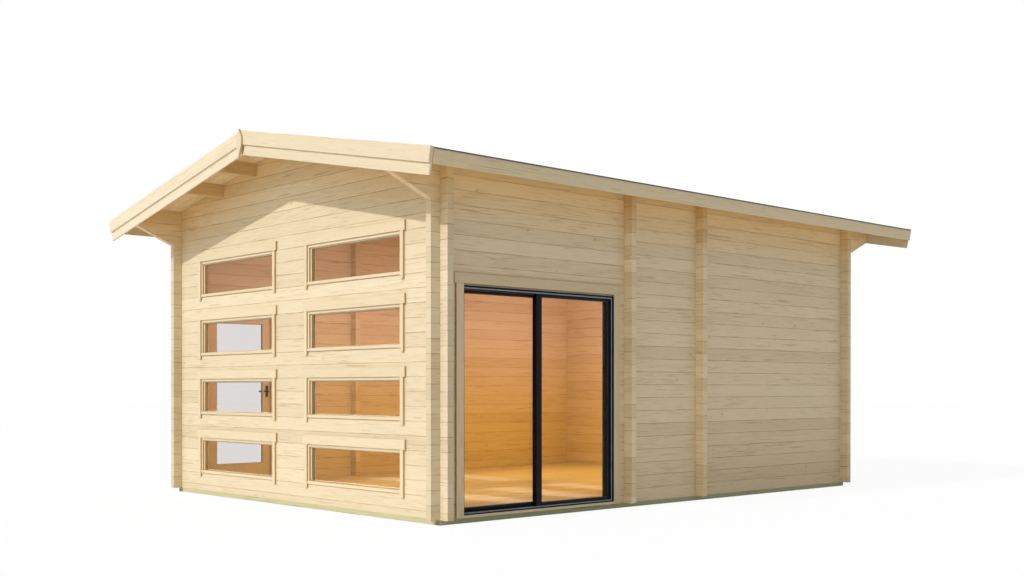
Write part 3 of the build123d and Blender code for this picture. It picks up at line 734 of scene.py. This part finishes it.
def soften(piece, width, segments=2):
    """Rounds a piece's hard edges a little, after joining the corners that its faces share."""
    weld = piece.modifiers.new("joined corners", "WELD")
    weld.merge_threshold = WELD
    bevel = piece.modifiers.new("softened edges", "BEVEL")
    bevel.width = width
    bevel.segments = segments
    bevel.limit_method = "ANGLE"
    bevel.angle_limit = radians(EDGE_ANGLE)
    bevel.use_clamp_overlap = True
    normals = piece.modifiers.new("face normals", "WEIGHTED_NORMAL")
    normals.keep_sharp = False
    for polygon in piece.data.polygons:
        polygon.use_smooth = True


def dress(names, material, edge=0.0):
    """Gives CAD nodes their material, and softened edges where a width is given."""
    for name in names:
        piece = nodes[name]
        piece.data.materials.clear()
        piece.data.materials.append(material)
        if edge:
            soften(piece, edge)


def roof_boards(side, sign, material):
    """Boards from ridge to eave with eased lower edges, in place of one slope's roof slab."""
    count = round(2 * roof.back / ROOF_BOARD_WIDTH)
    pitch = 2 * roof.back / count
    half = pitch / 2 - BOARD_GAP / 2
    ease = ROOF_BOARD_EASE
    outline = [
        (-half, ease),
        (ease - half, 0.0),
        (half - ease, 0.0),
        (half, ease),
        (half, roof.rise),
        (-half, roof.rise),
    ]
    mesh = bmesh.new()
    for index in range(count):
        middle = (index + 0.5) * pitch - roof.back

        def place(run, point):
            return (sign * run, middle + point[0], roof.height(run) + point[1])

        add_prism(mesh, outline, place, 0.0, roof.edge)
    piece = new_piece(f"roof_boards_{side}", mesh, material, "cabin")
    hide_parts(f"roof_deck_{side}")


def floor_boards(material):
    """Boards along the room, cut to the outline of the plain floor that they replace."""
    low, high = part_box("floor")
    count = round((high[0] - low[0]) / FLOOR_BOARD_WIDTH)
    pitch = (high[0] - low[0]) / count
    half = pitch / 2 - BOARD_GAP / 2
    ease = FLOOR_BOARD_EASE
    thickness = high[2] - low[2]
    outline = [
        (-half, 0.0),
        (half, 0.0),
        (half, thickness - ease),
        (half - ease, thickness),
        (ease - half, thickness),
        (-half, thickness - ease),
    ]
    boards = bmesh.new()
    for index in range(count):
        middle = low[0] + (index + 0.5) * pitch

        def place(along, point):
            return (middle + point[0], along, low[2] + point[1])

        add_prism(boards, outline, place, low[1], high[1])
    piece = new_piece("floor_boards", boards, material, "cabin")
    trim_to_floor(piece, low[2], high[2])
    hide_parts("floor")


def trim_to_floor(piece, bottom, top):
    """Cuts the floor boards to the plain floor's outline, taken a little taller than it is."""
    shape = bmesh.new()
    shape.from_mesh(nodes["floor"].data)
    bmesh.ops.remove_doubles(shape, verts=shape.verts, dist=WELD)
    for vertex in shape.verts:
        vertex.co.z += FLOOR_CUT_MARGIN if vertex.co.z > (bottom + top) / 2 else -FLOOR_CUT_MARGIN
    data = bpy.data.meshes.new("floor outline")
    shape.to_mesh(data)
    shape.free()
    cutter = bpy.data.objects.new("floor outline", data)
    bpy.context.scene.collection.objects.link(cutter)
    cut = piece.modifiers.new("cut to the walls", "BOOLEAN")
    cut.operation = "INTERSECT"
    cut.solver = "EXACT"
    cut.object = cutter
    bpy.context.view_layer.update()
    shown = piece.evaluated_get(bpy.context.evaluated_depsgraph_get())
    result = bpy.data.meshes.new_from_object(shown)
    piece.modifiers.clear()
    piece.data = result
    bpy.data.objects.remove(cutter)


def felt_rows(material):
    """Overlapping strips of felt on both slopes, thickest at their lower edge, and a ridge strip."""
    mesh = bmesh.new()
    top = cover.ridge + cover.rise + FELT_LIFT
    step = cover.edge / FELT_ROWS
    crest = FELT_THIN + FELT_LIFT
    cap = [
        (0.0, crest),
        (RIDGE_STRIP_WIDTH, FELT_THICK),
        (RIDGE_STRIP_WIDTH, FELT_THICK * RIDGE_STRIP_EDGE_SHARE),
        (0.0, crest * RIDGE_STRIP_CREST_SHARE),
    ]
    for sign in (-1, 1):

        def place(along, point):
            run, lift = point
            return (sign * run, along, top - run * cover.slope + lift)

        for row in range(FELT_ROWS):
            upper = row * step
            lower = upper + step
            outline = [(upper, 0.0), (lower, 0.0), (lower, FELT_THICK), (upper, FELT_THIN)]
            add_prism(mesh, outline, place, -cover.back, cover.back)
        add_prism(mesh, cap, place, -cover.back, cover.back)
    new_piece("felt_strips", mesh, material, "cabin")


def bead_profile(width, height):
    """A glazing bead against the frame: tall there, falling in a soft slope to the glass."""
    return [
        (0.0, BEAD_LIFT),
        (0.0, height),
        (width * BEAD_TOP_SHARE, height),
        (width * BEAD_TOE_SHARE, height * BEAD_TOE_HEIGHT_SHARE),
        (width, BEAD_LIFT),
    ]


def pane_rings(name, node, axis, profile, material, body, outside=True):
    """Rings of bead or gasket round every pane of a node, on both faces of the glass or inside only.

    The axis is the one that the glass faces: 0 for X and 1 for Y.
    """
    mesh = bmesh.new()
    flat = 1 - axis
    for low, high in solids(node):
        faces = [(high[axis], 1)]
        if outside:
            faces.append((low[axis], -1))
        for face, outward in faces:

            def place(across, upright, depth):
                spot = [0.0, 0.0, upright]
                spot[flat] = across
                spot[axis] = face + outward * depth
                return spot

            corner_low = (low[flat], low[2])
            corner_high = (high[flat], high[2])
            add_ring(mesh, corner_low, corner_high, profile, place)
    new_piece(name, mesh, material, body)


def window_glass(material):
    """Panes with eased edges, a hair smaller than the plain ones, so that the frames show round them."""
    mesh = bmesh.new()

    def place(depth, point):
        return (point[0], depth, point[1])

    for low, high in solids("window_panes"):
        left, right = low[0] + GLASS_GAP, high[0] - GLASS_GAP
        bottom, top = low[2] + GLASS_GAP, high[2] - GLASS_GAP
        outline = [(left, bottom), (right, bottom), (right, top), (left, top)]
        add_prism(mesh, outline, place, low[1], high[1])
    piece = new_piece("window_glass", mesh, material, "cabin")
    soften(piece, GLASS_EDGE, segments=1)
    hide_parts("window_panes")


def slider_highlight_line(material):
    """The raised line on the outer frame's face, close round the sliding door's opening, pale as a painted
    highlight.
    """
    jamb_low, jamb_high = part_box("slider_jambs")
    panel_low, panel_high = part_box("fixed_panel_frame")
    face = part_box("slider_head_lining")[1][0]
    reach = FRAME_LINE_SETBACK + FRAME_LINE_WIDTH
    low = (jamb_low[1] + jamb_high[1] - panel_high[1] - reach, panel_low[2] - reach)
    high = (panel_high[1] + reach, panel_high[2] + reach)
    width, proud = FRAME_LINE_WIDTH, FRAME_LINE_PROUD
    slant = width * FRAME_LINE_SLANT_SHARE
    profile = [(0.0, 0.0), (slant, proud), (width - slant, proud), (width, 0.0)]

    def place(across, upright, depth):
        return (face + depth, across, upright)

    mesh = bmesh.new()
    add_ring(mesh, low, high, profile, place)
    new_piece("slider_highlight_line", mesh, material, "cabin")


def make_floor():
    """A pale floor that stays white to the eye and keeps the cabin's shadow."""
    half = STUDIO_SIZE / 2
    mesh = bmesh.new()
    corners = [(-half, -half, 0.0), (half, -half, 0.0), (half, half, 0.0), (-half, half, 0.0)]
    mesh.faces.new([mesh.verts.new(corner) for corner in corners])
    data = bpy.data.meshes.new("studio_floor")
    mesh.to_mesh(data)
    mesh.free()
    floor = bpy.data.objects.new("studio_floor", data)
    bpy.context.scene.collection.objects.link(floor)
    t = Tree("studio floor")
    t.shader.inputs["Base Color"].default_value = rgb(*STUDIO_COLOUR)
    t.shader.inputs["Roughness"].default_value = STUDIO_ROUGHNESS
    white = t.node("ShaderNodeEmission")
    share = t.times(seen_ray(t), STUDIO_WHITE_SHARE)
    t.surface(share, t.shader.outputs["BSDF"], white.outputs["Emission"])
    data.materials.append(t.material)


def seen_ray(t):
    """1 for rays from the camera, a mirror or through glass, and 0 for the light's own bounces."""
    path = t.node("ShaderNodeLightPath").outputs
    seen = t.math("MAXIMUM", path["Is Camera Ray"], path["Is Glossy Ray"])
    return t.math("MAXIMUM", seen, path["Is Transmission Ray"])


class WorldTree(Tree):
    """The world's nodes, with the same short calls."""

    def __init__(self, world):
        world.use_nodes = True
        self.nodes = world.node_tree.nodes
        self.links = world.node_tree.links


def make_sky():
    """An even pale sky that is plain white to the eye."""
    world = bpy.data.worlds.new("studio")
    bpy.context.scene.world = world
    t = WorldTree(world)
    sky = t.nodes["Background"]
    sky.inputs["Color"].default_value = rgb(*SKY_COLOUR)
    sky.inputs["Strength"].default_value = SKY_STRENGTH
    white = t.node("ShaderNodeBackground")
    white.inputs["Color"].default_value = rgb(1.0, 1.0, 1.0)
    t.surface(seen_ray(t), sky.outputs["Background"], white.outputs["Background"], "World Output")


def add_lamp(name, kind, power):
    """A lamp of any kind, still at the origin and looking down."""
    lamp = bpy.data.lights.new(name, kind)
    lamp.energy = power
    holder = bpy.data.objects.new(name, lamp)
    bpy.context.scene.collection.objects.link(holder)
    return holder


def make_lamps():
    """The sun and a weak fill at the window gable, and room lamps that are warmer below than above."""
    sun = add_lamp("sun", "SUN", SUN_STRENGTH)
    sun.data.angle = radians(SUN_SPREAD)
    sun.data.color = SUN_COLOUR
    sun.rotation_euler = (radians(90 - SUN_HEIGHT), 0.0, radians(SUN_TURN))
    fill = add_lamp("front_fill", "SUN", FILL_STRENGTH)
    fill.data.angle = radians(FILL_SPREAD)
    fill.data.color = FILL_COLOUR
    fill.rotation_euler = (radians(90 - FILL_HEIGHT), 0.0, 0.0)
    add_room_lamps("low", LOW_LAMP_MIDDLE, LOW_LAMP_POWER, LOW_LAMP_COLOUR, LOW_LAMP_SPREAD)
    add_room_lamps("high", HIGH_LAMP_MIDDLE, HIGH_LAMP_POWER, HIGH_LAMP_COLOUR, HIGH_LAMP_SPREAD)
    floor = add_panel_lamp("floor_lamp", FLOOR_LAMP_POWER, FLOOR_LAMP_COLOUR, FLOOR_LAMP_SPREAD)
    floor.data.size = REAR_LAMP_LENGTH
    floor.data.size_y = SIDE_LAMP_LENGTH
    floor.location = (0.0, ROOM_LAMP_BACK, FLOOR_LAMP_HEIGHT)


def add_room_lamps(level, middle, power, colour, spread):
    """Long lamps in the middle of the room, each with its beam towards one wall."""
    side, rear = SIDE_LAMP_LENGTH, REAR_LAMP_LENGTH
    for wall, turn, length in (("left", 90.0, side), ("rear", 0.0, rear), ("right", -90.0, side)):
        lamp = add_panel_lamp(f"{level}_room_lamp_{wall}", power, colour, spread)
        lamp.data.size = length
        lamp.data.size_y = ROOM_LAMP_HEIGHT
        lamp.location = (0.0, ROOM_LAMP_BACK, middle)
        lamp.rotation_euler = (radians(90.0), 0.0, radians(turn))


def add_panel_lamp(name, power, colour, spread):
    """A rectangular lamp that lights the room without being seen."""
    lamp = add_lamp(name, "AREA", power)
    lamp.data.color = colour
    lamp.data.shape = "RECTANGLE"
    lamp.data.spread = radians(spread)
    lamp.visible_camera = False
    lamp.visible_glossy = False
    lamp.visible_transmission = False
    return lamp


def make_camera():
    """The camera at the photo's viewing angle."""
    camera = bpy.data.cameras.new("camera")
    camera.sensor_width = SENSOR_WIDTH
    camera.lens = FOCAL_LENGTH
    camera.shift_y = VIEW_RISE
    camera.clip_end = 2 * STUDIO_SIZE
    holder = bpy.data.objects.new("camera", camera)
    holder.location = CAMERA_PLACE
    holder.rotation_euler = (radians(90 + CAMERA_TILT), 0.0, radians(CAMERA_TURN))
    bpy.context.scene.collection.objects.link(holder)
    bpy.context.scene.camera = holder


def dress_walls():
    """Logs of the long walls run along Y, and those of the gables and splices along X."""
    beam_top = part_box("long_ground_beams")[1][2]
    first_odd = min(low[2] for low, high in solids("right_wall_odd_logs"))
    log_height = first_odd - beam_top
    long_logs = [f"{side}_wall_{half}_logs" for side in ("right", "left") for half in ("even", "odd")]
    cross_logs = [f"{end}_gable_{half}_logs" for end in ("front", "rear") for half in ("even", "odd")]
    cross_course = (beam_top + log_height / 2, log_height)
    along = wood("spruce logs along", "y", SPRUCE, course=(beam_top, log_height))
    across = wood("spruce logs across", "x", SPRUCE, course=cross_course)
    splice = wood("splice logs", "x", SPLICE_PAINTED_LIGHT, course=cross_course)
    dress(long_logs, along, LOG_EDGE)
    dress(cross_logs, across, LOG_EDGE)
    dress(["splice_even_logs", "splice_odd_logs"], splice, LOG_EDGE)


def dress_timber():
    """Ground frame, roof timbers, bargeboards, trims and joinery."""
    treated_y = wood("treated timber along", "y", TREATED)
    treated_x = wood("treated timber across", "x", TREATED_PAINTED_SUNLIT)
    spruce_y = wood("spruce boards along", "y", SPRUCE)
    barge = wood("bargeboards", "slope", BARGEBOARD)
    decking = wood("roof boards", "slope", DECKING)
    fascia = wood("eave boards", "y", FASCIA)
    purlin = wood("purlins", "y", PURLIN)
    apex = wood("apex boards", "z", JOINERY, face="y")
    window_x = wood("window joinery across", "x", JOINERY, face="y")
    window_z = wood("window joinery upright", "z", JOINERY, face="y")
    door_y = wood("door joinery along", "y", JOINERY, face="x")
    door_z = wood("door joinery upright", "z", JOINERY, face="x")
    trim_y = wood("door trim along", "y", DOOR_TRIM, face="x")
    trim_z = wood("door trim upright", "z", DOOR_TRIM, face="x")
    dress(["long_ground_beams"], treated_y, BOARD_EDGE)
    dress(["cross_ground_beams", "floor_joists"], treated_x, BOARD_EDGE)
    dress(["ridge_purlin", "purlins"], purlin, BOARD_EDGE)
    dress(["eave_fascias"], fascia, BOARD_EDGE)
    dress(["upper_bargeboards", "lower_bargeboards"], barge, BOARD_EDGE)
    dress(["apex_boards"], apex, BOARD_EDGE)
    dress(["window_head_trims", "window_rails"], window_x, BOARD_EDGE)
    dress(["window_side_trims", "window_stiles"], window_z, BOARD_EDGE)
    dress(["door_side_trims"], trim_z, BOARD_EDGE)
    dress(["door_head_trims", "slider_head_lining"], trim_y, BOARD_EDGE)
    dress(["door_jambs", "door_leaf"], door_z, BOARD_EDGE)
    dress(["door_head", "door_threshold", "slider_threshold"], door_y, BOARD_EDGE)
    roof_boards("right", 1, decking)
    roof_boards("left", -1, decking)
    floor_boards(spruce_y)
    room_bead = bead_profile(ROOM_BEAD_WIDTH, ROOM_BEAD_HEIGHT)
    door_bead = bead_profile(BEAD_WIDTH, BEAD_HEIGHT)
    pane_rings(
        "window_beads", "window_panes", 1, room_bead, window_x, "cabin", outside=False
    )
    pane_rings("door_beads", "door_glass", 0, door_bead, door_z, "door")


def dress_rest():
    """Roofing, dark frames, glass and fittings."""
    roofing = felt("mineral felt")
    dark = painted_metal("anthracite frame", *ANTHRACITE, ANTHRACITE_ROUGHNESS)
    # Frame line metal, pale as a painted highlight
    line = painted_metal("frame line", *LINE_PAINTED_HIGHLIGHT, LINE_ROUGHNESS)
    rubber = moulded_rubber("black rubber", *RUBBER_BLACK)
    clear = glass("clear glass")
    steel = bare_metal("zinc plated steel", *ZINC, ZINC_ROUGHNESS)
    handle = painted_metal("dark handle metal", *HANDLE_DARK, HANDLE_ROUGHNESS)
    dress(["roof_covering_right", "roof_covering_left"], roofing)
    dress(["slider_jambs", "slider_head_rail", "slider_sill_rail"], dark, FRAME_EDGE)
    dress(["fixed_panel_frame", "sliding_panel_frame"], dark, FRAME_EDGE)
    dress(["fixed_panel_glass", "sliding_panel_glass", "door_glass"], clear)
    dress(["sliding_panel_shoes"], rubber, METAL_EDGE)
    dress(["frame_hinges", "leaf_hinges"], steel)
    dress(["door_handles"], handle, METAL_EDGE)
    felt_rows(roofing)
    window_glass(clear)
    slider_highlight_line(line)
    gasket = bead_profile(GASKET_WIDTH, GASKET_HEIGHT)
    for panel, body in (("fixed", "cabin"), ("sliding", "sliding_panel")):
        pane_rings(f"{panel}_panel_gaskets", f"{panel}_panel_glass", 0, gasket, rubber, body)


dress_walls()
dress_timber()
dress_rest()
make_floor()
make_sky()
make_lamps()
make_camera()
bpy.context.scene.view_settings.view_transform = "Standard"
